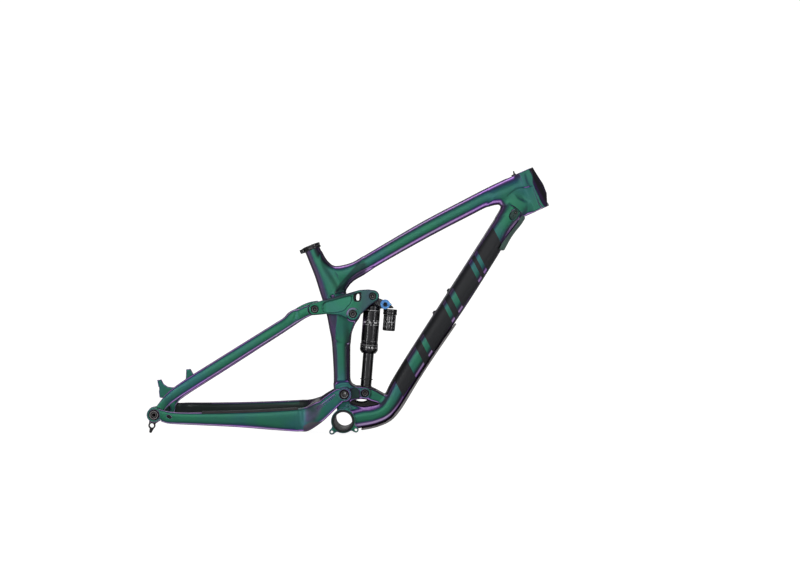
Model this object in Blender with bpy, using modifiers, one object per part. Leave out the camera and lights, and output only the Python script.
"""Full-suspension carbon mountain-bike frame with its rear shock, as separate pieces.

World frame: +X forward, +Y to the left (non-drive) side, +Z up, metres. The origin is
the middle of the frame's underside: the centre of its length and width, at the level of
its lowest point. All dimensions below are in millimetres. Side-view points are (X, Z) from
the centre of the bottom-bracket shell, and a parent empty carries everything to BB_CENTRE.
"""
import bpy
import bmesh
from math import copysign, cos, pi, radians, sin
from mathutils import Matrix, Vector

MM = 0.001
FACETS = 0.68         # share of a fine circle's segments that round pieces get
GAP = 0.35            # running gap between separate pieces
EASE = 0.4            # wider gap, round axles, bolt heads and seated bearings
SIDES = (("right", -1), ("left", 1))   # name ending, sign of Y

# ---- driving dimensions ---------------------------------------------------------
BB_CENTRE = (-16.457, 0.0, 31.9)
BB_MIDDLE = (0, 0)
REAR_AXLE = (-435.9, 18.7)
MAIN_PIVOT = (2.3, 62.2)
ROCKER_PIVOT = (22.3, 251.6)
STAY_PIVOT = (-67.6, 262.7)
SHOCK_TOP = (69.05, 293.4)
SHOCK_FOOT = (50.9, 64.1)
SHOCK_LENGTH = 230.0           # nominal, eye to eye
HEAD_TOP, HEAD_FOOT = (429.0, 592.0), (469.7, 500.6)
SEAT_TOP = (-75.2, 403.9)      # on the seat tube axis, at the foot of the clamp
SEAT_ANGLE = 68.0
SEAT_TILT = 90 - SEAT_ANGLE    # lean of the seat tube from upright
SEATPOST_BORE = 31.6
BB_WIDTH, BB_OUTER, BB_BORE = 92.0, 53.0, 41.0
BB_SLEEVE_R = BB_BORE / 2 + 2.2
WALL = 3.2                     # laminate thickness of the tubes
THICK_WALL = WALL + 0.6        # the same in the down tube and seat tube
LUG_HALF = 30.5                # half width of the main pivot boss on the front frame
PLATE_IN, PLATE_OUT = 29.5, 38.5   # rocker side plates, from the middle plane
SHAFT_R, CAN_R = 13.0, 20.3
FULL_SWING, STAY_SWING = 19.5, -8.079   # degrees at full travel: chainstay, seatstay against it

# radii of the turning pieces, which their holes follow
MAIN_AXLE_R, MAIN_BEARING_R = 8.2, 11.9
ROCKER_BOLT_R, ROCKER_HEAD_R, ROCKER_BEARING_R = 6.0, 9.2, 10.9
LINK_BOLT_R, STAY_HEAD_R, SHOCK_HEAD_R = 4.95, 8.5, 8.0
STAY_BEARING_R = 9.0
REAR_AXLE_R, AXLE_COLLAR_R, DROPOUT_BEARING_R = 6.0, 10.4, 13.8
FOOT_BOLT_R, FOOT_HEAD_R = 4.05, 8.4
FOOT_BUSHING_R, TOP_BUSHING_R = 7.45, 6.85

# ---- scene ----------------------------------------------------------------------
for old in list(bpy.data.objects):
    bpy.data.objects.remove(old, do_unlink=True)
PARTS = bpy.data.collections.new("bicycle_frame")
TOOLS = bpy.data.collections.new("cutters")
bpy.context.scene.collection.children.link(PARTS)
bpy.context.scene.collection.children.link(TOOLS)
TOOLS.hide_render = True

LOOKS = {
    "paint": dict(colour=(0.03, 0.22, 0.15), roughness=0.25, metallic=0.6),
    "rubber": dict(colour=(0.03, 0.03, 0.032), roughness=0.7, metallic=0.0),
    "black": dict(colour=(0.015, 0.015, 0.017), roughness=0.3, metallic=0.8),
    "steel": dict(colour=(0.45, 0.45, 0.46), roughness=0.3, metallic=1.0),
    "bolt": dict(colour=(0.08, 0.08, 0.085), roughness=0.35, metallic=0.9),
    "blue": dict(colour=(0.05, 0.3, 0.75), roughness=0.25, metallic=0.9),
    "red": dict(colour=(0.6, 0.03, 0.03), roughness=0.3, metallic=0.9),
}


def material(name, colour, roughness, metallic):
    made = bpy.data.materials.new(name)
    made.use_nodes = True
    shader = made.node_tree.nodes["Principled BSDF"]
    shader.inputs["Base Color"].default_value = (*colour, 1)
    shader.inputs["Roughness"].default_value = roughness
    shader.inputs["Metallic"].default_value = metallic
    made.diffuse_color = (*colour, 1)
    return made


# ---- side-view geometry -----------------------------------------------------------
def spot(point, y=0.0):
    """Side-view point as a 3D vector, still in millimetres."""
    return Vector((point[0], y, point[1]))


def towards(start, end):
    """3D vector from one side-view point to another."""
    return spot((end[0] - start[0], end[1] - start[1]))


def along(start, end, distance):
    """Side-view point at a distance from start towards end."""
    x, z = end[0] - start[0], end[1] - start[1]
    length = (x * x + z * z) ** 0.5
    return start[0] + x / length * distance, start[1] + z / length * distance


def up_seat(distance):
    """Side-view point on the seat tube axis, above SEAT_TOP."""
    return (SEAT_TOP[0] - cos(radians(SEAT_ANGLE)) * distance,
            SEAT_TOP[1] + sin(radians(SEAT_ANGLE)) * distance)


def span(side, inner, outer):
    """Y range on one side, from distances to the middle plane."""
    return sorted((side * inner, side * outer))


def arc(centre, radius, start, end, count):
    angles = [radians(start + (end - start) * i / (count - 1)) for i in range(count)]
    return [(centre[0] + radius * cos(t), centre[1] + radius * sin(t)) for t in angles]


def oval(centre, long_half, short_half, tilt, count=20):
    cos_tilt, sin_tilt = cos(radians(tilt)), sin(radians(tilt))
    points = []
    for i in range(count):
        u = long_half * cos(2 * pi * i / count)
        v = short_half * sin(2 * pi * i / count)
        points.append((centre[0] + u * cos_tilt - v * sin_tilt,
                       centre[1] + u * sin_tilt + v * cos_tilt))
    return points


def curved(points, per):
    """Closed Catmull-Rom outline, per steps between each two points."""
    out, count = [], len(points)
    for i in range(count):
        four = points[i - 1], points[i], points[(i + 1) % count], points[(i + 2) % count]
        for k in range(per):
            t = k / per
            out.append(tuple(
                0.5 * (2 * start + (end - before) * t
                       + (2 * before - 5 * start + 4 * end - after) * t * t
                       + (3 * start - before - 3 * end + after) * t ** 3)
                for before, start, end, after in zip(*four)
            ))
    return out


def superellipse(count, power):
    """(across, up) pairs round a rounded rectangle of half sizes 1."""
    pairs = []
    for i in range(count):
        angle = 2 * pi * (i + 0.5) / count
        pairs.append(tuple(copysign(abs(value) ** (2 / power), value)
                           for value in (cos(angle), sin(angle))))
    return pairs


# ---- solids -----------------------------------------------------------------------
def add_object(name, mesh, look):
    obj = bpy.data.objects.new(name, mesh)
    PARTS.objects.link(obj)
    if look:
        mesh.materials.append(material(obj.name + "_look", **LOOKS[look]))
    return obj


def from_bmesh(name, draft, look, smooth=True):
    mesh = bpy.data.meshes.new(name)
    draft.to_mesh(mesh)
    draft.free()
    if smooth:
        mesh.shade_smooth()
        mesh.set_sharp_from_angle(angle=radians(35))
    return add_object(name, mesh, look)


def coarse(facets):
    return facets if facets <= 8 else max(10, round(facets * FACETS))


def loft(name, stations, count, grow=0.0, look=None):
    """Tube through stations (upper edge, lower edge, y centre, half width, power)."""
    draft = bmesh.new()
    rings = []
    for (top_x, top_z), (low_x, low_z), y, half_width, power in stations:
        up_x, up_z = (top_x - low_x) / 2, (top_z - low_z) / 2
        length = (up_x * up_x + up_z * up_z) ** 0.5
        scale = (length + grow) / length
        rings.append([
            draft.verts.new(Vector(((top_x + low_x) / 2 + up_x * scale * up,
                                    y + (half_width + grow) * across,
                                    (top_z + low_z) / 2 + up_z * scale * up)) * MM)
            for across, up in superellipse(count, power)
        ])
    for first, second in zip(rings, rings[1:]):
        for i in range(count):
            j = (i + 1) % count
            draft.faces.new((first[i], first[j], second[j]))
            draft.faces.new((first[i], second[j], second[i]))
    draft.faces.new(rings[0])
    draft.faces.new(rings[-1])
    bmesh.ops.triangulate(draft, faces=draft.faces)
    bmesh.ops.recalc_face_normals(draft, faces=draft.faces)
    return from_bmesh(name, draft, look)


def cone(name, radius, end_radius, depth, facets, look):
    """Cone along its own Z; depth is in metres."""
    draft = bmesh.new()
    bmesh.ops.create_cone(draft, cap_ends=True, segments=coarse(facets), radius1=radius * MM,
                          radius2=end_radius * MM, depth=depth)
    return from_bmesh(name, draft, look)


def rod(name, centre, radius, y0, y1, facets, look=None):
    """Cylinder along Y at a side-view point."""
    obj = cone(name, radius, radius, (y1 - y0) * MM, facets, look)
    middle = spot(centre, (y0 + y1) / 2) * MM
    obj.matrix_world = Matrix.Translation(middle) @ Matrix.Rotation(-pi / 2, 4, "X")
    return obj


def rod_pairs(*rows):
    """Rods on both sides from rows (name, centre, radius, inner, outer, facets)."""
    return [rod(f"{name}_{tag}", centre, radius, *span(side, inner, outer), facets)
            for name, centre, radius, inner, outer, facets in rows for tag, side in SIDES]


def shaft(name, start, end, radius, facets, end_radius=None, y=0.0, look=None):
    """Cylinder or cone between two side-view points at depth y."""
    first, last = spot(start, y) * MM, spot(end, y) * MM
    if end_radius is None:
        end_radius = radius
    obj = cone(name, radius, end_radius, (last - first).length, facets, look)
    turn = (last - first).to_track_quat("Z", "Y").to_matrix().to_4x4()
    obj.matrix_world = Matrix.Translation((first + last) / 2) @ turn
    return obj


def box(name, centre, size, angle):
    """Box across the middle plane, turned by angle degrees in the side view (X towards Z)."""
    draft = bmesh.new()
    bmesh.ops.create_cube(draft, size=1.0)
    bmesh.ops.scale(draft, vec=Vector(size) * MM, verts=draft.verts)
    obj = from_bmesh(name, draft, None, smooth=False)
    turn = Matrix.Rotation(-radians(angle), 4, "Y")
    obj.matrix_world = Matrix.Translation(spot(centre) * MM) @ turn
    return obj


def turned(name, profile, base, direction, facets, look):
    """Closed profile of (radius, height) turned about an axis, as a Screw on its outline."""
    mesh = bpy.data.meshes.new(name)
    count = len(profile)
    # an edge that lies on the axis is left out
    edges = [(i, (i + 1) % count) for i in range(count)
             if profile[i][0] or profile[(i + 1) % count][0]]
    mesh.from_pydata([(radius * MM, 0, height * MM) for radius, height in profile], edges, [])
    obj = add_object(name, mesh, look)
    screw = obj.modifiers.new("turn", "SCREW")
    screw.axis = "Z"
    screw.steps = screw.render_steps = coarse(facets)
    screw.use_merge_vertices = True
    screw.merge_threshold = 0.00001
    screw.use_smooth_shade = True
    turn = direction.to_track_quat("Z", "Y").to_matrix().to_4x4()
    obj.matrix_world = Matrix.Translation(base * MM) @ turn
    return obj


def ring(name, centre, r_out, r_in, y0, y1, facets, look):
    """Ring along Y."""
    height = y1 - y0
    profile = [(r_out, height), (r_out, 0), (r_in, 0), (r_in, height)]
    return turned(name, profile, spot(centre, y0), Vector((0, 1, 0)), facets, look)


def plate(name, points, y0, y1, per=1, look=None):
    """Side-view outline given thickness from y0 to y1: a filled 2D curve made a mesh."""
    if per > 1:
        points = curved(points, per)
    curve = bpy.data.curves.new(name, "CURVE")
    curve.dimensions = "2D"
    curve.fill_mode = "BOTH"
    curve.extrude = (y1 - y0) / 2 * MM
    spline = curve.splines.new("POLY")
    spline.points.add(len(points) - 1)
    for point, (x, z) in zip(spline.points, points):
        point.co = (x * MM, z * MM, 0, 1)
    spline.use_cyclic_u = True
    guide = bpy.data.objects.new(name + "_guide", curve)
    TOOLS.objects.link(guide)
    mesh = evaluated_mesh(guide)
    bpy.data.objects.remove(guide, do_unlink=True)
    draft = bmesh.new()
    draft.from_mesh(mesh)
    bmesh.ops.remove_doubles(draft, verts=draft.verts, dist=0.00001)
    bmesh.ops.recalc_face_normals(draft, faces=draft.faces)
    bpy.data.meshes.remove(mesh)
    obj = from_bmesh(name, draft, look)
    middle = Vector((0, (y0 + y1) / 2, 0)) * MM
    obj.matrix_world = Matrix.Translation(middle) @ Matrix.Rotation(pi / 2, 4, "X")
    return obj


# ---- Booleans ---------------------------------------------------------------------
def evaluated_mesh(obj):
    bpy.context.view_layer.update()
    return bpy.data.meshes.new_from_object(
        obj.evaluated_get(bpy.context.evaluated_depsgraph_get()))


def combine(obj, others, operation):
    for other in others:
        PARTS.objects.unlink(other)
        TOOLS.objects.link(other)
        other.hide_render = True
        other.display_type = "WIRE"
        step = obj.modifiers.new(operation.lower(), "BOOLEAN")
        step.operation = operation
        step.object = other
        step.solver = "EXACT"
    return obj


def join(obj, *others):
    return combine(obj, others, "UNION")


def cut(obj, *others):
    return combine(obj, others, "DIFFERENCE")


def keep(obj, *others):
    return combine(obj, others, "INTERSECT")


def settle(obj):
    """Bakes the modifiers so far, which keeps later Booleans quick, and drops their helpers."""
    mesh = evaluated_mesh(obj)
    looks = list(obj.data.materials)
    used = [step.object for step in obj.modifiers if step.type == "BOOLEAN"]
    obj.modifiers.clear()
    obj.data = mesh
    mesh.name = obj.name
    mesh.materials.clear()
    for look in looks:
        mesh.materials.append(look)
    for other in used:
        bpy.data.objects.remove(other, do_unlink=True)
    return obj


def bolt(name, centre, shank, *heads, socket):
    """Bolt along Y; shank, heads and socket are each (radius, y0, y1, facets)."""
    body = rod(name, centre, *shank, look="bolt")
    join(body, *[rod("bolt_head", centre, *head) for head in heads])
    return settle(cut(body, rod("bolt_socket", centre, *socket)))


# ---- front frame: tables ------------------------------------------------------------
# tube stations: upper edge (x, z), lower edge (x, z), y centre, half width, power
DOWN_TUBE = [
    ((398, 532), (452, 503), 0, 25, 2.4), ((374, 500), (432, 468), 0, 28, 2.5),
    ((352, 467), (400, 437), 0, 29, 2.7), ((321, 418), (368, 387.5), 0, 30, 2.8),
    ((246, 301), (292, 271), 0, 31, 2.8), ((172, 186), (215, 158), 0, 32, 2.8),
    ((136, 129), (178, 101.5), 0, 33, 2.8), ((110, 85), (153, 60), 0, 35, 2.8),
    ((96, 56), (131, 25), 0, 37.5, 2.8), ((84, 41), (109, 1), 0, 39.5, 2.8),
    ((66, 34), (81, -12), 0, 41, 2.8), ((44, 32), (54, -18.5), 0, 42, 2.8),
    ((20, 26), (24, -22.5), 0, 42.5, 2.8), ((6, 22), (6, -22), 0, 42.5, 2.8),
]
TOP_TUBE = [
    ((-22, 364), (-4, 322), 0, 17, 2.4), ((21, 374), (40, 340), 0, 17.5, 2.4),
    ((45, 388.5), (64, 355.5), 0, 18, 2.4), ((93, 417), (112, 384), 0, 18.5, 2.4),
    ((189, 473), (208, 437.5), 0, 19.5, 2.4), ((284, 523), (302.5, 486.5), 0, 21, 2.4),
    ((332, 547), (349, 509), 0, 22, 2.4), ((380, 569.5), (397, 520), 0, 23, 2.4),
    ((419, 586.5), (440, 534), 0, 22.5, 2.4),
]
SEAT_TUBE = [
    ((17, 50), (-18, 50), 0, 28, 3), ((15.5, 82), (-24, 80), 0, 26, 3),
    ((15, 112), (-25, 112), 0, 23.5, 2.8), ((15, 150), (-27, 150), 0, 22.5, 2.6),
    ((15, 190), (-30, 188), 0, 22, 2.6), ((13.5, 222), (-35.5, 217), 0, 21.5, 2.6),
    ((10, 256), (-41, 246), 0, 21, 2.5), ((4, 288), (-48, 272), 0, 20.5, 2.5),
    ((-3, 313), (-58, 303), 0, 20, 2.4), ((-24, 345), (-68, 335), 0, 19.4, 2.2),
    ((-40, 369.7), (-75.6, 355.3), 0, 18.8, 2), ((-50.5, 392.3), (-85, 378.4), 0, 18.3, 2),
    ((-62.1, 420.5), (-96.1, 406.7), 0, 18.3, 2),
]
# the hollows run between end stations of their own
DOWN_HOLLOW = [((408, 540), (458, 511), 0, 25, 2.4), *DOWN_TUBE[1:-1],
               ((10, 18), (10, -18), 0, 40, 2.6)]
TOP_HOLLOW = [((-50, 352), (-34, 316), 0, 16, 2.2), *TOP_TUBE[:-1],
              ((430, 580), (446, 540), 0, 22.5, 2.4)]
SEAT_HOLLOW = [((12, 98), (-22, 98), 0, 22, 2.4), *SEAT_TUBE[3:7]]

# side-view outlines (x, z)
SADDLE = [
    (-54, 399), (-47, 387.5), (-40, 378.5), (-31, 369.7), (-20, 363.8), (-7, 361.7), (6, 365.5),
    (21, 373.5), (45, 386), (64, 358), (50, 350), (36, 341), (24, 331), (14, 321), (7, 311),
    (0, 297), (-14, 280), (-36, 282), (-50, 310), (-60, 345), (-68, 380),
]
HEAD_WEB = [
    (345, 550), (345, 512), (360, 515), (371, 514.5), (376.5, 508), (374, 498), (366, 481),
    (388, 479), (410, 492), (436, 500), (452, 510), (440, 560), (420, 584), (382, 566),
]
YOKE = [
    (-23, 84), (-8, 90), (13, 92), (20, 83.5), (28, 79), (45, 78.5), (62, 77), (79, 69), (98, 58),
    (112, 55), (118, 30), (100, 12), (60, 8), (20, 12), (-14, 20), (-21, 40),
]
ROCKER_LUG = [
    (12, 184), (16.5, 203), (26, 226), (34, 238), (39, 252), (36, 263), (27, 271), (12, 281),
    (2, 300), (-21, 297), (-18, 192),
]
FRAME_WINDOW = [(17, 42), (24, 47.5), (38, 50), (54, 48.5), (68, 44), (82, 39), (66, 34.5),
                (46, 32.5), (28, 35.5)]
STEERER_STOP = [(393, 576.2), (407.5, 582.8), (406, 586), (403, 584.6), (401, 590.5),
                (397.5, 588.9), (399, 583), (391.8, 579.7)]

HEAD_FOOT_R, HEAD_TOP_R, STEERER_R = 27.6, 23.2, 17.6
SEAT_DEPTH = 9                 # of the headset bores, from each end of the head tube
# headset seats: name, own end, far end, bore radius, ring's inner radius
HEADSET_SEATS = (("upper", HEAD_TOP, HEAD_FOOT, 21.0, 17.7),
                 ("lower", HEAD_FOOT, HEAD_TOP, 25.2, 20.2))

PORT, PORT_TILT = (404, 487), 57
PORT_SCREW = (PORT[0] + 3.0, PORT[1] + 4.8)
PORT_SCREW_R = 2.5
COVER_HALVES = (13.0, 8.5)     # long and short half sizes of the cable port covers

BOSSES = (("upper", (250.0, 307.0)), ("lower", (216.0, 254.0)))
BOSS_DIR = (-0.839, 0.545)     # out of the down tube's upper face


# ---- front frame --------------------------------------------------------------------
def boss_shaft(name, boss, start, end, *size, look=None):
    """Shaft through a bottle boss, between distances out from it."""
    ends = [(boss[0] + BOSS_DIR[0] * d, boss[1] + BOSS_DIR[1] * d) for d in (start, end)]
    return shaft(name, *ends, *size, look=look)


def main_frame():
    frame = loft("main_frame", DOWN_TUBE, 10, look="paint")
    settle(join(frame, loft("top_tube", TOP_TUBE, 12), loft("seat_tube", SEAT_TUBE, 16)))
    settle(join(
        frame,
        shaft("head_tube", HEAD_FOOT, HEAD_TOP, HEAD_FOOT_R, 32, HEAD_TOP_R),
        plate("saddle", SADDLE, -16.5, 16.5),
        plate("head_web", HEAD_WEB, -20.5, 20.5),
        plate("yoke_wall", YOKE, -30.2, 30.2),
        plate("rocker_lug", ROCKER_LUG, -26, 26),
        rod("rocker_boss", ROCKER_PIVOT, 16.5, -28.9, 28.9, 28),
        rod("main_boss", MAIN_PIVOT, 15.6, -LUG_HALF, LUG_HALF, 28),
        rod("bb_shell", BB_MIDDLE, BB_OUTER / 2, -BB_WIDTH / 2, BB_WIDTH / 2, 40),
    ))
    settle(cut(
        frame,
        loft("down_inside", DOWN_HOLLOW, 8, grow=-THICK_WALL),
        loft("top_inside", TOP_HOLLOW, 8, grow=-WALL),
        shaft("post_bore", up_seat(-172), up_seat(20), SEATPOST_BORE / 2, 28),
        loft("seat_inside", SEAT_HOLLOW, 8, grow=-THICK_WALL),
    ))
    settle(cut(
        frame,
        shaft("steerer_bore", along(HEAD_FOOT, HEAD_TOP, -5), along(HEAD_TOP, HEAD_FOOT, -5),
              STEERER_R, 32),
        *[shaft(name + "_seat_bore", along(end, far, SEAT_DEPTH), along(end, far, -4), bore, 32)
          for name, end, far, bore, _ in HEADSET_SEATS],
        rod("bb_bore", BB_MIDDLE, BB_SLEEVE_R + GAP, -60, 60, 40),
        plate("through_window", FRAME_WINDOW, -60, 60, per=2),
        box("yoke_slot", (52.5, 75), (46, 35.4, 90), -4.5),
        rod("foot_bolt_hole", SHOCK_FOOT, FOOT_BOLT_R + GAP, -40, 40, 20),
        *rod_pairs(("foot_bolt_recess", SHOCK_FOOT, 9.0, 26.6, 40, 24)),
        rod("main_axle_hole", MAIN_PIVOT, MAIN_AXLE_R + EASE, -40, 40, 24),
        *rod_pairs(("main_bearing_seat", MAIN_PIVOT, MAIN_BEARING_R + EASE, 23, 40, 24),
                   ("rocker_bolt_hole", ROCKER_PIVOT, ROCKER_BOLT_R + GAP, 13, 40, 20)),
    ))
    pocket = oval(PORT, *[half + EASE for half in COVER_HALVES], PORT_TILT)
    slit = up_seat(-3)
    settle(cut(
        frame,
        *[plate("port_pocket_" + tag, pocket, *span(side, 25.2, 40)) for tag, side in SIDES],
        # slit down the front of the seat tube's top
        box("clamp_slit", (slit[0] + 18, slit[1] + 7), (22, 1.8, 38), SEAT_TILT),
    ))
    for name, boss in BOSSES:
        hole = boss_shaft("boss_hole_" + name, boss, -14, 7, 2.9, 16)
        # turned so that its facets don't line up with the tube's
        hole.matrix_world = hole.matrix_world @ Matrix.Rotation(radians(11), 4, "Z")
        settle(cut(frame, hole))


# ---- parts fixed to the front frame ---------------------------------------------------
def fixed_rings():
    ring("bb_shell_sleeve", BB_MIDDLE, BB_SLEEVE_R, BB_BORE / 2, -45.7, 45.7, 40, look="steel")
    for name, end, far, bore, r_in in HEADSET_SEATS:
        r_out = bore - GAP
        profile = [(r_out, 8.2), (r_out, 0), (r_in, 0), (r_in, 5), (r_in + 1.8, 8.2)]
        turned(name + "_headset_seat", profile, spot(along(end, far, SEAT_DEPTH - 0.5)),
               towards(far, end), 32, look="steel")


GUIDE_Y = (-49.9, -46.4)
GUIDE_TABS = ((-26.5, -25.5), (30.0, -20.5), (12.0, 34.0))
# shares of a tab's reach: distance of its root, half width there, half width at its end
TAB_ROOT, TAB_ROOT_HALF, TAB_END_HALF = 0.45, 0.28, 0.17


def chainguide_mount():
    mount = rod("chainguide_mount", BB_MIDDLE, 28.6, *GUIDE_Y, 32, look="paint")
    tabs = []
    for x, z in GUIDE_TABS:
        tabs.append(plate("tab", [
            (x * TAB_ROOT - z * TAB_ROOT_HALF, z * TAB_ROOT + x * TAB_ROOT_HALF),
            (x * TAB_ROOT + z * TAB_ROOT_HALF, z * TAB_ROOT - x * TAB_ROOT_HALF),
            (x + z * TAB_END_HALF, z - x * TAB_END_HALF),
            (x - z * TAB_END_HALF, z + x * TAB_END_HALF),
        ], *GUIDE_Y))
    settle(join(mount, *tabs, *[rod("tab_end", tab, 6.4, *GUIDE_Y, 20) for tab in GUIDE_TABS]))
    settle(cut(mount, rod("guide_bore", BB_MIDDLE, 23.2, -60, -40, 36),
               *[rod("tab_hole", tab, 3.0, -60, -40, 16) for tab in GUIDE_TABS]))


COLLAR_PROFILE = [(21.9, 10.9), (21.9, 1.0), (21.1, 0), (19.3, 0), (19.3, 11.5), (21.3, 11.5)]
EAR_REACH = 24.6               # from the seat tube axis back to the middle of the clamp's ear
CLAMP_BOLT_R, CLAMP_HEAD_R = 2.5, 4.0


def seat_clamp():
    collar = turned("seat_clamp_collar", COLLAR_PROFILE, spot(up_seat(0.3)),
                    spot((-cos(radians(SEAT_ANGLE)), sin(radians(SEAT_ANGLE)))), 40, look="black")
    level = up_seat(5.8)
    ear = (level[0] - EAR_REACH * sin(radians(SEAT_ANGLE)),
           level[1] - EAR_REACH * cos(radians(SEAT_ANGLE)))
    hole = (ear[0] - 0.8, ear[1])
    join(collar, box("clamp_ear", ear, (9.5, 21, 9.6), SEAT_TILT))
    settle(cut(
        collar,
        box("clamp_gap", (ear[0] - 2, ear[1]), (16, 1.6, 30), SEAT_TILT),
        rod("clamp_bolt_hole", hole, CLAMP_BOLT_R + EASE, -20, 20, 16),
        rod("clamp_head_recess", hole, CLAMP_HEAD_R + EASE, -20, -7.5, 16),
    ))
    bolt("seat_clamp_bolt", hole, (CLAMP_BOLT_R, -9, 10.4, 16), (CLAMP_HEAD_R, -11.6, -7.9, 20),
         socket=(2.0, -13, -9.2, 6))


def bottle_boss_bolts():
    for name, boss in BOSSES:
        shank = boss_shaft("bottle_boss_bolt_" + name, boss, -10, 3.4, 2.4, 14, look="bolt")
        settle(join(shank, boss_shaft("boss_bolt_head", boss, 1.2, 4.2, 4.4, 16, 3.6)))


def cable_ports():
    for tag, side in SIDES:
        cover = plate("cable_port_cover_" + tag, oval(PORT, *COVER_HALVES, PORT_TILT),
                      *span(side, 25.7, 29.6), look="rubber")
        settle(cut(cover, rod("port_hole", PORT_SCREW, PORT_SCREW_R + EASE,
                              *span(side, 24, 31), 16)))
        bolt("cable_port_screw_" + tag, PORT_SCREW, (PORT_SCREW_R, *span(side, 26.2, 30.4), 16),
             socket=(1.3, *span(side, 29, 34), 6))


# ---- rubber skins ---------------------------------------------------------------------
def longer(stations, extra):
    """The same tube with a further station beyond each end."""
    def beyond(end, inner):
        step = [(end[0][i] + end[1][i]) / 2 - (inner[0][i] + inner[1][i]) / 2 for i in (0, 1)]
        size = (step[0] ** 2 + step[1] ** 2) ** 0.5
        x, z = [part / size * extra for part in step]
        return ((end[0][0] + x, end[0][1] + z), (end[1][0] + x, end[1][1] + z), *end[2:])
    return [beyond(stations[0], stations[1]), *stations, beyond(stations[-1], stations[-2])]


def skin(name, stations, region, low, high, half, count=14):
    """Piece of rubber that follows a tube, from low to high above its surface."""
    cover = loft(name, stations, count, grow=high, look="rubber")
    cut(cover, loft(name + "_inner", longer(stations, 6.0), count, grow=low))
    settle(keep(cover, plate(name + "_region", region, -half, half)))


# side-view regions (x, z) that each skin is kept to
GUARD_REGION = [
    (266, 229), (240, 194.5), (215, 156.5), (190, 118), (165, 80), (150, 57), (140, 41),
    (128, 23), (115, 7), (99, -4.5), (80, -12), (60, -16.5), (42, -19.5), (42, -60),
    (200, -60), (330, 160), (276, 222),
]
BUMPER_REGION = [(431, 480), (418, 470), (404, 449), (380, 408), (368, 388), (376, 380),
                 (440, 440), (452, 480)]
PROTECTOR_REGION = [(-326, 21.2), (-326, 60), (-104, 60), (-104, 29), (-174, 25.4),
                    (-244, 22.8)]


# ---- pivots between front frame, chainstay and rocker -----------------------------------
def frame_pivots():
    for tag, side in SIDES:
        ring("main_pivot_bearing_" + tag, MAIN_PIVOT, MAIN_BEARING_R, MAIN_AXLE_R + EASE,
             *span(side, 23.4, 30.2), 24, look="steel")
        bolt("rocker_pivot_bolt_" + tag, ROCKER_PIVOT,
             (ROCKER_BOLT_R, *span(side, 14, 38.4), 20),
             (ROCKER_HEAD_R, *span(side, 36.9, 40.3), 28),
             socket=(3.4, *span(side, 38.2, 42), 6))
        ring("rocker_bearing_" + tag, ROCKER_PIVOT, ROCKER_BEARING_R, ROCKER_BOLT_R + GAP,
             *span(side, 30.0, 36.3), 24, look="steel")
    bolt("main_pivot_axle", MAIN_PIVOT, (MAIN_AXLE_R, -40.5, 40.5, 24),
         *[(11.2, *span(side, 39.5, 43.4), 28) for _, side in SIDES], socket=(4.6, -50, 50, 6))


# ---- chainstay --------------------------------------------------------------------------
# upper edge, lower edge, distance from the middle plane, half width, power, share of the lift
CHAIN_ARM = [
    ((-424, 33), (-420, 3), 87.3, 4.9, 3, 0), ((-408, 27.5), (-405, -1.5), 86.9, 5.2, 3, 0.4),
    ((-385, 24.5), (-383, -3.6), 83.5, 7.2, 3, 0.9), ((-337, 24), (-337, -6), 80, 9, 3, 1),
    ((-244, 25.6), (-244, -11), 76.5, 9.5, 3, 1), ((-174, 28.2), (-174, -17), 73, 9.8, 3, 1),
    ((-120, 31), (-116, -21.6), 68.5, 10, 3, 1), ((-91, 33), (-83, -21.8), 62.5, 10, 3, 0.9),
    ((-62, 43), (-50, -2.5), 53, 9.5, 3, 0.6), ((-41, 58.5), (-23, 22.5), 45, 8, 3, 0.3),
    ((-17, 74), (-4, 41), 39.3, 6.6, 3, 0), ((2, 76), (8, 48), 37.6, 6.3, 3, 0),
]
LEFT_LIFT = 8.0                # the left arm's middle stands higher than the right one's
STAY_BRIDGE = [(-84, 33), (-66, 44), (-55, 41), (-52, 26), (-60, 12), (-76, 10), (-86, 18)]


def chain_arm(side, lift):
    return [((top[0], top[1] + lift * share), (low[0], low[1] + lift * share),
             side * y, half_width, power)
            for top, low, y, half_width, power, share in CHAIN_ARM]


RIGHT_ARM = chain_arm(-1, 0.0)


def chainstay():
    stay = loft("chainstay", RIGHT_ARM, 10, look="paint")
    settle(join(
        stay,
        *rod_pairs(("pivot_boss", MAIN_PIVOT, 16.5, 31.1, 44.4, 28)),
        loft("left_arm", chain_arm(1, LEFT_LIFT), 10),
        rod("dropout_right", REAR_AXLE, 17.3, -92.2, -82.3, 28),
        rod("dropout_left", REAR_AXLE, 17.3, 81.0, 92.2, 28),
        plate("stay_bridge", STAY_BRIDGE, -54, 54),
    ))
    dropout_bore = DROPOUT_BEARING_R + EASE
    settle(cut(
        stay,
        rod("axle_hole", MAIN_PIVOT, MAIN_AXLE_R + EASE, -60, 60, 24),
        *rod_pairs(("axle_head_recess", MAIN_PIVOT, 11.7, 39.1, 60, 28)),
        rod("dropout_hole_right", REAR_AXLE, dropout_bore, -100, -81.5, 28),
        rod("dropout_hole_left", REAR_AXLE, dropout_bore, 80.5, 100, 28),
        plate("cable_slot", oval((-401, 14.5), 6.0, 3.2, -25, 14), -100, -70),
    ))
    for name, y0, y1 in (("right", -91.6, -82.6), ("left", 81.4, 91.6)):
        ring("dropout_bearing_" + name, REAR_AXLE, DROPOUT_BEARING_R, AXLE_COLLAR_R + EASE,
             y0, y1, 24, look="bolt")


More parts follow.
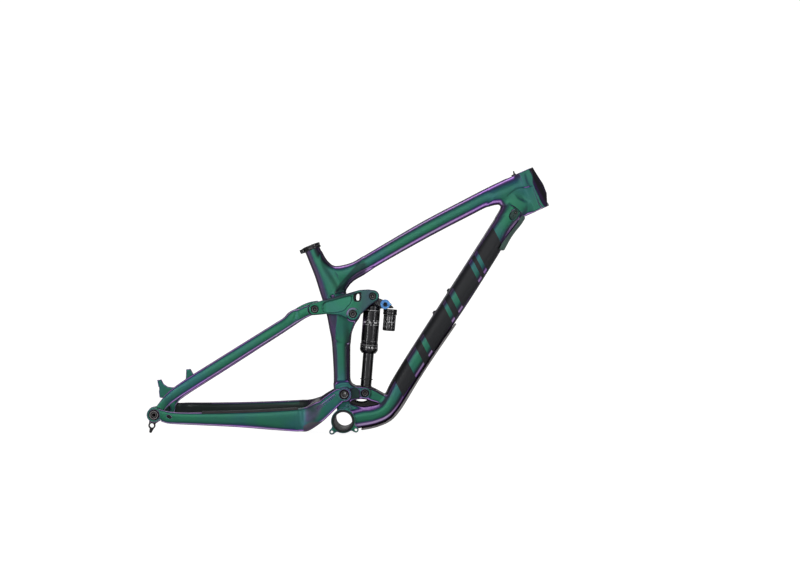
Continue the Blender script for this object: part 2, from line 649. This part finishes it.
# ---- seatstay ---------------------------------------------------------------------------
# upper edge, lower edge, distance from the middle plane, half width, power
SEAT_ARM = [
    ((-400, 76), (-387, 52), 74.5, 6.6, 3), ((-360, 104.5), (-345, 79), 71, 8.6, 3),
    ((-292, 147.5), (-277, 122), 64.5, 9, 3), ((-222, 191.5), (-207, 167), 56.5, 9, 3),
    ((-168, 225.5), (-153, 201.5), 47.5, 8.8, 3), ((-133, 247.5), (-119, 224), 38, 8.4, 3),
    ((-112, 260.5), (-98, 238), 31.6, 7.4, 3), ((-92, 266), (-80, 246), 29.6, 6.6, 3),
]
SEATSTAY_BRIDGE = [(-141, 246), (-128, 259), (-116, 262), (-110, 254), (-116, 236),
                   (-128, 226), (-139, 232)]
TONGUE = [(-104, 254), (-92, 262), (-72, 274.8), (-60, 273), (-55, 263), (-60, 252),
          (-72, 250.4), (-98, 243)]
TONGUE_IN, TONGUE_OUT = 23.0, 28.7
BRAKE_POST_REAR = [(-462, 88), (-452, 89), (-446, 78), (-436, 71), (-418, 69), (-404, 62),
                   (-412, 40), (-440, 42), (-456, 44), (-459, 70)]
BRAKE_POST_FRONT = [(-390.5, 114), (-380, 115), (-373, 102), (-362, 97), (-360, 84),
                    (-392, 82), (-391, 100)]


def seat_arm(side, y, half_width):
    """One arm; y and half_width are those of its rear end."""
    rear = [((-436, 34), (-424, 12), y, half_width, 3),
            ((-421, 54), (-410, 34), y - 0.3, half_width + 0.6, 3)]
    return [(top, low, side * offset, half, power)
            for top, low, offset, half, power in rear + SEAT_ARM]


def before_travel(point):
    """Where a side-view point met at full travel lies on the seatstay at rest."""
    for centre, angle in ((MAIN_PIVOT, -FULL_SWING), (REAR_AXLE, -STAY_SWING)):
        x, z = point[0] - centre[0], point[1] - centre[1]
        cosine, sine = cos(radians(angle)), sin(radians(angle))
        point = (centre[0] + x * cosine + z * sine, centre[1] + z * cosine - x * sine)
    return point


def seatstay():
    stay = loft("seatstay", seat_arm(-1, 76.4, 2.2), 10, look="paint")
    settle(join(
        stay,
        loft("left_arm", seat_arm(1, 77.3, 3.0), 10),
        rod("dropout_right", REAR_AXLE, 18.6, -78.6, -74.0, 28),
        rod("dropout_left", REAR_AXLE, 18.6, 74.0, 80.5, 28),
        plate("bridge", SEATSTAY_BRIDGE, -40, 40),
    ))
    # the shoulder stands back from the rocker's rear end, and the bridge is scooped out
    # where the seat tube comes to stand at full travel
    settle(cut(
        stay,
        *rod_pairs(("swing", STAY_PIVOT, 24.5, 20, 50, 40)),
        shaft("scoop", before_travel(up_seat(-150)), before_travel(up_seat(20)), 20.6, 28),
    ))
    # a thin tongue on each side runs in behind the rocker's plate
    tongues = []
    for _, side in SIDES:
        depth = span(side, TONGUE_IN, TONGUE_OUT)
        tongues.append(plate("tongue", TONGUE, *depth))
        tongues.append(rod("tongue_end", STAY_PIVOT, 13.0, *depth, 24))
    settle(join(
        stay,
        *tongues,
        plate("brake_post_rear", BRAKE_POST_REAR, 72.5, 80.3),
        plate("brake_post_front", BRAKE_POST_FRONT, 70.5, 79.5),
    ))
    settle(cut(
        stay,
        rod("rear_axle_hole", REAR_AXLE, REAR_AXLE_R + EASE, -100, 100, 24),
        *rod_pairs(("tongue_bore", STAY_PIVOT, STAY_BEARING_R + GAP, 20, 40, 24)),
        shaft("post_hole_rear", (-457, 62), (-457, 95), 2.6, 12, y=76.4),
        shaft("post_hole_front", (-385, 88), (-385, 125), 2.6, 12, y=75.2),
    ))
    for tag, side in SIDES:
        ring("stay_pivot_bearing_" + tag, STAY_PIVOT, STAY_BEARING_R, 5.0,
             *span(side, 23.3, 28.5), 24, look="steel")


def rear_axle():
    bolt("rear_axle", REAR_AXLE, (REAR_AXLE_R, -93.6, 94.0, 20), (9.6, 92.7, 95.0, 24),
         socket=(3.3, -100, 100, 12))
    for name, y0, y1 in (("right", -95.0, -82.2), ("left", 81.0, 92.4)):
        ring("axle_collar_" + name, REAR_AXLE, AXLE_COLLAR_R, REAR_AXLE_R + GAP, y0, y1, 24,
             look="steel")


HANGER = [(-448, 16), (-424, 16), (-428, 2), (-436, -4), (-437, -12), (-444.5, -24.5),
          (-449.5, -22.5), (-448, -14), (-450, -4)]
HANGER_THREAD = (-442.5, -6.5)
HANGER_Y = (-81.8, -79.0)


def derailleur_hanger():
    hanger = plate("derailleur_hanger", HANGER, *HANGER_Y, look="black")
    settle(join(hanger, rod("hanger_top", REAR_AXLE, 14.5, *HANGER_Y, 24),
                rod("hanger_ring", HANGER_THREAD, 8.2, -84.6, HANGER_Y[1], 24)))
    settle(cut(hanger, rod("hanger_axle_hole", REAR_AXLE, REAR_AXLE_R + EASE, -100, -70, 20),
               rod("hanger_thread", HANGER_THREAD, 4.9, -100, -70, 20)))


# ---- rocker -----------------------------------------------------------------------------
ROCKER = [
    (-67.6, 278.2), (-48, 284.5), (-3, 296.5), (38, 308.5), (58, 309.6),
    *arc(SHOCK_TOP, 14.5, 84, -42, 7), (62, 271), (40, 249),
    *arc(ROCKER_PIVOT, 16.8, -8, -128, 6), (-6, 247.3), (-38, 251.5), (-60, 249.2),
    *arc(STAY_PIVOT, 15.6, 248, 96, 8),
]
LINK_BRIDGE = [(39, 293), (42, 303), (49, 305.5), (53, 300), (50, 292), (44, 289.5)]
LINK_WINDOW = [(25, 282.5), (36, 281), (41, 284), (42.5, 299), (39, 302.5), (27, 299), (24, 295)]


def rocker_link():
    link = plate("rocker_link", ROCKER, -PLATE_OUT, -PLATE_IN, look="paint")
    settle(join(
        link,
        plate("left_plate", ROCKER, PLATE_IN, PLATE_OUT),
        *rod_pairs(("nose", SHOCK_TOP, 10.4, 20.7, PLATE_OUT - 1, 24)),
        plate("link_bridge", LINK_BRIDGE, -32, 32, per=2),
    ))
    settle(cut(link, *rod_pairs(
        ("pivot_bore", ROCKER_PIVOT, ROCKER_BEARING_R + GAP, 20, 37, 24),
        ("pivot_head", ROCKER_PIVOT, ROCKER_HEAD_R + EASE, 36.5, 50, 28),
        ("stay_bore", STAY_PIVOT, LINK_BOLT_R + GAP, 20, 50, 20),
        ("stay_head", STAY_PIVOT, STAY_HEAD_R + EASE, 35.6, 50, 24),
        ("shock_bore", SHOCK_TOP, LINK_BOLT_R + GAP, 15, 50, 20),
        ("shock_head", SHOCK_TOP, SHOCK_HEAD_R + EASE, 35.6, 50, 24),
    )))
    # window through both side plates, which also trims the bridge's rear edge
    settle(cut(link, plate("link_window", LINK_WINDOW, -60, 60)))


def link_bolts():
    for tag, side in SIDES:
        for label, centre, inner, head_radius in (
            ("stay_pivot_bolt_", STAY_PIVOT, 29.4, STAY_HEAD_R),
            ("shock_top_bolt_", SHOCK_TOP, 20.9, SHOCK_HEAD_R),
        ):
            bolt(label + tag, centre, (LINK_BOLT_R, *span(side, inner, 37), 20),
                 (head_radius, *span(side, 36.0, 39.4), 24),
                 socket=(2.9, *span(side, 37.4, 42), 6))


# ---- shock ------------------------------------------------------------------------------
SHOCK_AXIS = towards(SHOCK_FOOT, SHOCK_TOP)
RESERVOIR_TOP = (110.6, 263.4)
DIALS = (98.6, 274.2)          # common axis of the knob and the dial

# (radius, height) profiles
BODY_PROFILE = [(12.4, 107.5), (SHAFT_R, 106.9), (SHAFT_R, 0), (0, 0), (0, 107.5)]
EYELET_PROFILE = [(14.2, 12), (14.6, 3), (10, -6), (0, -6), (0, 12)]
O_RING_PROFILE = [(14.9, 1.6), (15.5, 0.8), (14.9, 0), (13.3, 0), (13.3, 1.6)]
CAN_PROFILE = [(19.6, 82.4), (CAN_R, 81.6), (CAN_R, 0), (17.6, 0), (17.6, 82.4)]
SEAL_PROFILE = [(20.2, 24), (21.4, 22.6), (21.6, 7.5), (19.6, 4.6), (16.6, 0.4),
                (SHAFT_R + GAP, 0), (SHAFT_R + GAP, 24)]
HEAD_PROFILE = [(12.5, 17), (19.4, 8), (CAN_R, 6.6), (CAN_R, 0), (0, 0), (0, 17)]
RESERVOIR_PROFILE = [(15.0, 37.6), (15.0, 1.6), (13.6, 0), (0, 0), (0, 37.6)]
CAP_PROFILE = [(16.0, 14.0), (16.6, 13.4), (16.6, 1.4), (15.4, 0), (0, 0), (0, 14.0)]
# side-view outlines (x, z)
CROWN = [(66, 285), (80, 291), (92, 287), (107, 284), (117, 276), (120, 265.4), (98, 265.0),
         (90, 263.4), (84, 268), (66, 268)]
KNOB_LEVER = [(104, 277.4), (112.8, 276.2), (114, 273.4), (111.6, 271.6), (104, 271)]


def on_shock(distance):
    """Side-view point below the upper eye, on the shock's axis."""
    return along(SHOCK_TOP, SHOCK_FOOT, distance)


def shock_turned(name, profile, low, look, facets=32):
    """Turned piece whose height 0 is low mm below the upper eye."""
    return turned(name, profile, spot(on_shock(low)), SHOCK_AXIS, facets, look=look)


def shock_shaft_side():
    shock_turned("damper_body", BODY_PROFILE, 214.6, "black")
    eyelet = shock_turned("lower_eyelet", EYELET_PROFILE, 227.2, "black")
    settle(join(eyelet, rod("eye_barrel", SHOCK_FOOT, 13.2, -15, 15, 28)))
    settle(cut(eyelet, rod("eye_bore", SHOCK_FOOT, FOOT_BUSHING_R + GAP, -30, 30, 24)))
    ring("lower_shock_bushing", SHOCK_FOOT, FOOT_BUSHING_R, 4.35, -17.3, 17.3, 20, look="steel")
    shock_turned("travel_o_ring", O_RING_PROFILE, 199.5, "rubber", 28)
    bolt("lower_shock_bolt", SHOCK_FOOT, (FOOT_BOLT_R, -27.4, 25.5, 16),
         (FOOT_HEAD_R, -30.2, -26.9, 24), socket=(3.0, -34, -28.6, 6))
    rod("lower_shock_nut", SHOCK_FOOT, FOOT_HEAD_R, 26.9, 30.2, 24, look="bolt")


def shock_head():
    head = shock_turned("shock_head", HEAD_PROFILE, 29.8, "black")
    settle(join(
        head,
        rod("head_eye", SHOCK_TOP, 12.6, -20.1, 20.1, 28),
        plate("crown", CROWN, -11.5, 11.5),
        rod("knob_boss", DIALS, 9.3, -16.8, 16.8, 24),
    ))
    settle(cut(head, rod("head_eye_bore", SHOCK_TOP, TOP_BUSHING_R + GAP, -30, 30, 24)))
    valve = on_shock(24.6)
    rod("air_valve_cap", valve, 3.6, 20.7, 26.4, 16, look="black")
    settle(cut(head, rod("valve_port", valve, 3.0, 17.5, 30, 12)))
    settle(cut(head, shaft("head_air_hole", on_shock(31.5), on_shock(26.5), 3.0, 12)))


def reservoir():
    for name, profile, low in (("reservoir", RESERVOIR_PROFILE, 53),
                               ("reservoir_cap", CAP_PROFILE, 15)):
        base = (RESERVOIR_TOP[0] - SHOCK_AXIS.x / SHOCK_LENGTH * low,
                RESERVOIR_TOP[1] - SHOCK_AXIS.z / SHOCK_LENGTH * low)
        turned(name, profile, spot(base), SHOCK_AXIS, 32, look="black")


def shock_dials():
    knob = rod("compression_knob", DIALS, 11.7, -25.2, -17.2, 30, look="blue")
    settle(join(knob, rod("knob_hub", DIALS, 6.5, -27.2, -23.6, 24),
                plate("knob_lever", KNOB_LEVER, -24.0, -21.2)))
    settle(cut(knob, rod("knob_socket", DIALS, 2.2, -30, -24.6, 6)))
    rod("rebound_dial", DIALS, 8.6, 17.2, 22.6, 16, look="red")


def shock_can_side():
    shock_turned("air_can", CAN_PROFILE, 112.6, "black", 40)
    shock_turned("seal_head", SEAL_PROFILE, 137.0, "black", 40)
    shock_head()
    ring("upper_shock_bushing", SHOCK_TOP, TOP_BUSHING_R, 5.2, -20.0, 20.0, 20, look="steel")
    reservoir()
    shock_dials()


# ---- assembly: a parent empty on each joint's axis, all carried by one at the bracket -----
def axis_empty(name, centre, parent=None):
    empty = bpy.data.objects.new(name, None)
    empty.empty_display_size = 0.02
    PARTS.objects.link(empty)
    empty.location = spot(centre) * MM
    if parent:
        empty.location -= parent.matrix_world.translation
        empty.parent = parent
    bpy.context.view_layer.update()
    return empty


def assemble():
    pieces = list(PARTS.objects)
    base = axis_empty("bb_centre", BB_MIDDLE)
    chain_axis = axis_empty("chainstay_axis", MAIN_PIVOT, base)
    stay_axis = axis_empty("seatstay_axis", REAR_AXLE, chain_axis)
    rocker_axis = axis_empty("rocker_axis", ROCKER_PIVOT, base)
    foot_axis = axis_empty("shock_foot_axis", SHOCK_FOOT, base)
    can_axis = axis_empty("air_can_axis", SHOCK_TOP, foot_axis)
    # names without their side; the base carries whatever isn't listed
    carried = {
        chain_axis: ("chainstay", "chainstay_protector", "dropout_bearing", "main_pivot_axle"),
        stay_axis: ("seatstay", "stay_pivot_bearing", "rear_axle", "axle_collar",
                    "derailleur_hanger"),
        rocker_axis: ("rocker_link", "rocker_bearing", "stay_pivot_bolt", "shock_top_bolt"),
        foot_axis: ("damper_body", "lower_eyelet", "lower_shock_bushing", "travel_o_ring"),
        can_axis: ("air_can", "seal_head", "shock_head", "upper_shock_bushing", "reservoir",
                   "reservoir_cap", "air_valve_cap", "compression_knob", "rebound_dial"),
    }
    carrier = {name: empty for empty, names in carried.items() for name in names}
    for obj in pieces:
        empty = carrier.get(obj.name.removesuffix("_right").removesuffix("_left"), base)
        obj.parent = empty
        obj.matrix_parent_inverse = empty.matrix_world.inverted()
    base.location = Vector(BB_CENTRE) * MM
    bpy.context.view_layer.update()


main_frame()
fixed_rings()
chainguide_mount()
seat_clamp()
plate("steerer_stop", STEERER_STOP, -3.2, 3.2, look="black")
bottle_boss_bolts()
cable_ports()
skin("downtube_guard", DOWN_TUBE[3:-1], GUARD_REGION, low=0.5, high=5.4, half=60)
skin("fork_bumper", DOWN_TUBE[0:5], BUMPER_REGION, low=1.7, high=7.0, half=60)
frame_pivots()
chainstay()
skin("chainstay_protector", RIGHT_ARM[3:8], PROTECTOR_REGION, low=0.4, high=2.6, half=100,
     count=10)
seatstay()
rear_axle()
derailleur_hanger()
rocker_link()
link_bolts()
shock_shaft_side()
shock_can_side()
assemble()
